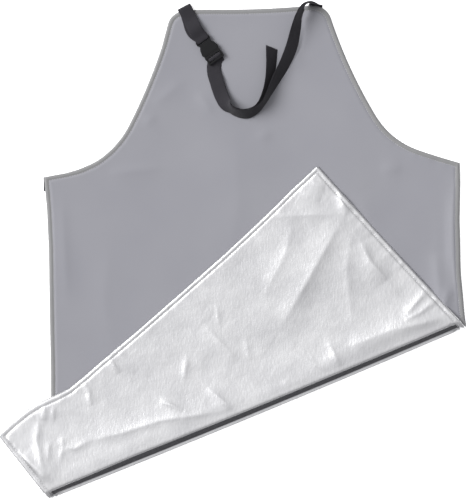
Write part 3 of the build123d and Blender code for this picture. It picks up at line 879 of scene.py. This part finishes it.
buckle_left = at_buckle(-1, 0, 0) - at_buckle(0, 0, 0)
ring = LADDER_R + 0.2 + WEBBING / 2
tail = [
    (at_buckle(0, LADDER[0] + 2, LADDER[1] - ring), buckle_left),
    (at_buckle(0, 38.6, LADDER[1] - ring - 0.3), buckle_left),
]
tail += moved_square(rolled(LONG_ROUTE), -TAIL_SPACING)[:TAIL_LEAVES_AT] + rolled(TAIL_ROUTE)
long_side = [
    (at_buckle(0, LADDER[0] + 0.8, LADDER[1] + ring), buckle_left),
    (at_buckle(0, 36.4, LADDER[1] - 0.3), buckle_left),
    *rolled(LONG_ROUTE),
]
right_way = at_right_root(1, 0, 0) - at_right_root(0, 0, 0)
standing = [
    (np.array([86.0, 246.6, 19.3]), (0.25, 0.12, 0.96)),
    (np.array([90.0, 247.9, 15.8]), (0.60, -0.04, 0.80)),
    (np.array([93.9, 247.6, 11.3]), (0.83, -0.22, 0.50)),
    (np.array([96.8, 246.6, 6.3]), (0.93, -0.30, 0.20)),
    (at_right_root(0, 1.4, 2.4), right_way),
    (at_right_root(0, -0.5, MIDDLE), right_way),
    (at_right_root(0, -ANCHOR_DEPTH, MIDDLE), right_way),
]
round_ladder = round_arc(at_buckle, LADDER, ring, 270, 90, buckle_left)
right_strap = ribbon("neck_strap_right_webbing", tail[::-1] + round_ladder + long_side + standing, slant=-2.5)
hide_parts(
    "neck_strap_right", "neck_strap_tail", "neck_strap_ladder_turn", "neck_strap_right_turn",
    "neck_strap_right_anchor",
)

left_way = at_left_root(-1, 0, 0) - at_left_root(0, 0, 0)
bar_way = at_buckle(1, 0, 0) - at_buckle(0, 0, 0)
ring = BAR_R + 0.2 + WEBBING / 2
edge_turn = (0.0, TURN_AXIS_Z)
upper = [
    (at_left_root(0, -ANCHOR_DEPTH, TURN_AXIS_Z - 3), left_way),
    *round_arc(at_left_root, edge_turn, 3.0, 270, 450, left_way),
    (at_left_root(0, -8, TURN_AXIS_Z + 3.0), left_way),
    (at_left_root(0, -15, TURN_AXIS_Z + 3.1), left_way),
    (at_buckle(0, -16, BAR[1] + ring + 2.4), bar_way),
    (at_buckle(0, -4, BAR[1] + ring), bar_way),
]
lower = [
    (at_buckle(0, -4, BAR[1] - ring), bar_way),
    (at_buckle(3.4, -15, BAR[1] - ring), bar_way),
    (at_left_root(-1.5, -17, TURN_AXIS_Z + 0.6), left_way),
    (at_left_root(0, -8, TURN_AXIS_Z + 2.0), left_way),
    *round_arc(at_left_root, edge_turn, 2.0, 450, 270, left_way),
    (at_left_root(0, -ANCHOR_DEPTH, TURN_AXIS_Z - 2), left_way),
]
round_bar = round_arc(at_buckle, BAR, ring, 90, -90, bar_way)
left_strap = ribbon("neck_strap_left_webbing", upper + round_bar + lower)
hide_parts("neck_strap_left", "neck_strap_left_turn", "neck_strap_left_anchor")

for strap, root, reach in ((left_strap, at_left_root(0, 0, 3), at_left_root(0, -16, 3)),
                           (right_strap, at_right_root(0, 0, 3), at_right_root(0, 0, 3) + (-13, -6.5, 6.5))):
    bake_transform(strap)
    dress(strap, webbing_cloth)

for side, top, proud, lean in ((-1, 1.2, 3.6, 0.0), (1, -5.0, -0.2, 0.09)):
    name = "waist_tab_left" if side < 0 else "waist_tab_right"
    y = top - WEBBING_WIDTH / 2
    reach = [
        (np.array([side * x, y, MIDDLE]), (lean * side, 1, 0))
        for x in (HALF_WIDTH - 7, HALF_WIDTH - 3, HALF_WIDTH + proud)
    ]
    tab = ribbon(name + "_webbing", reach[::-1])
    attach(tab, PANEL)
    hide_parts(name)
    dress(tab, webbing_cloth)

# ---------------------------------------------------------------- topstitching

STITCH, STITCH_GAP = 2.7, 0.9
# A stitch's rings: share of its length, radius, lift
STITCH_SHAPE = (
    (-0.02, 0.10, -0.30), (0.14, 0.36, 0.02), (0.5, 0.42, 0.14), (0.86, 0.36, 0.02), (1.02, 0.10, -0.30),
)


def stitches(name, level, side, thread, body):
    """A row of single stitches along the hem, on the panel (side 1) or the flap (side -1)."""
    loop = inset_loop(STITCH_INSET)
    loop = np.concatenate([loop, loop[:1]])
    run = np.concatenate([[0], np.cumsum(np.hypot(*np.diff(loop, axis=0).T))])
    starts = np.arange(0, run[-1] - STITCH, STITCH + STITCH_GAP)
    ends = [
        np.c_[np.interp(at, run, loop[:, 0]), np.interp(at, run, loop[:, 1])]
        for at in (starts, starts + STITCH)
    ]
    keep = side * fold_coordinates(ends[0])[1] > TURN + 3
    first, last = (lie(points[keep], level) for points in ends)
    up = np.array([0, 0, -1.0 if (level == THICK) != (side > 0) else 1.0])
    way = last - first
    across = np.cross(way, up)
    across /= np.linalg.norm(across, axis=1)[:, None]
    points = []
    for share, radius, lift in STITCH_SHAPE:
        centre = first + share * way + lift * up
        for corner in range(6):
            angle = corner * math.pi / 3
            points.append(centre + radius * (math.cos(angle) * across + math.sin(angle) * up))
    points = np.stack(points, 1)
    one = [
        (ring * 6 + k, ring * 6 + (k + 1) % 6, ring * 6 + 6 + (k + 1) % 6, ring * 6 + 6 + k)
        for ring in range(4) for k in range(6)
    ]
    faces = [tuple(i * 30 + k for k in face) for i in range(len(first)) for face in one]
    for i in range(len(first)):
        faces.append(tuple(i * 30 + k for k in range(5, -1, -1)))
        faces.append(tuple(i * 30 + k for k in range(24, 30)))
    obj = make_mesh(name + "_stitches", points.reshape(-1, 3), faces)
    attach(obj, body)
    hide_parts(name)
    dress(obj, thread)


stitches("topstitch_front_panel", THICK, 1, grey_thread, PANEL)
stitches("topstitch_front_flap", THICK, -1, grey_thread, FLAP)
stitches("topstitch_back_flap", 0.0, -1, silver_thread, FLAP)

# ---------------------------------------------------------------- CAD nodes that stay

for name, obj in frame["nodes"].items():
    if obj.hide_render:
        continue
    dress(obj, plastic if name.startswith("buckle") else grey_thread)

# ---------------------------------------------------------------- stage

bpy.ops.mesh.primitive_plane_add(size=12, location=(0, 0, -0.0005))
floor = bpy.context.object
floor.name = "floor"
material, tree, shader = new_material("pale_floor", (0.93, 0.93, 0.93), 0.9, specular=0.1)
shader.inputs["Emission Color"].default_value = (1, 1, 1, 1)
shader.inputs["Emission Strength"].default_value = 0.6
dress(floor, material)
floor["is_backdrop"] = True

world = bpy.data.worlds.new("studio")
bpy.context.scene.world = world
world.use_nodes = True
tree = world.node_tree
direction = node(tree, "ShaderNodeTexCoord").outputs["Generated"]
towards = node(tree, "ShaderNodeVectorMath", {0: direction, 1: (-0.22, 0.20, 0.955)}, operation="DOT_PRODUCT")
sky = node(tree, "ShaderNodeValToRGB", {"Fac": towards.outputs["Value"]})
sky.color_ramp.elements[0].position, sky.color_ramp.elements[1].position = 0.05, 0.97
sky.color_ramp.elements[0].color = (0.24, 0.24, 0.25, 1)
sky.color_ramp.elements[1].color = (0.85, 0.85, 0.86, 1)
for place, shade in ((0.6, 0.34), (0.82, 0.60)):
    stop = sky.color_ramp.elements.new(place)
    stop.color = (shade, shade, shade * 1.02, 1)
tree.links.new(sky.outputs["Color"], tree.nodes["Background"].inputs["Color"])
tree.nodes["Background"].inputs["Strength"].default_value = 1.0

key = bpy.data.lights.new("key_left", "SUN")
key.angle = math.radians(36)
key.energy = 3.7
lamp = bpy.data.objects.new("key_left", key)
lamp.rotation_mode = "QUATERNION"
lamp.rotation_quaternion = Vector((0.70, -0.30, -0.64)).to_track_quat("-Z", "Y")
bpy.context.scene.collection.objects.link(lamp)

camera = bpy.data.cameras.new("overhead")
camera.sensor_width = 36
DISTANCE, VIEW_HEIGHT = 4.0, 0.7374
camera.lens = camera.sensor_width * DISTANCE / VIEW_HEIGHT
camera.clip_end = 20
viewer = bpy.data.objects.new("overhead", camera)
viewer.location = (-0.0319, -0.1128, DISTANCE)
viewer.rotation_euler = (0, 0, math.radians(-1.39))
bpy.context.scene.collection.objects.link(viewer)
bpy.context.scene.camera = viewer
bpy.context.scene.view_settings.view_transform = "Standard"

bpy.context.view_layer.update()
low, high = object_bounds()
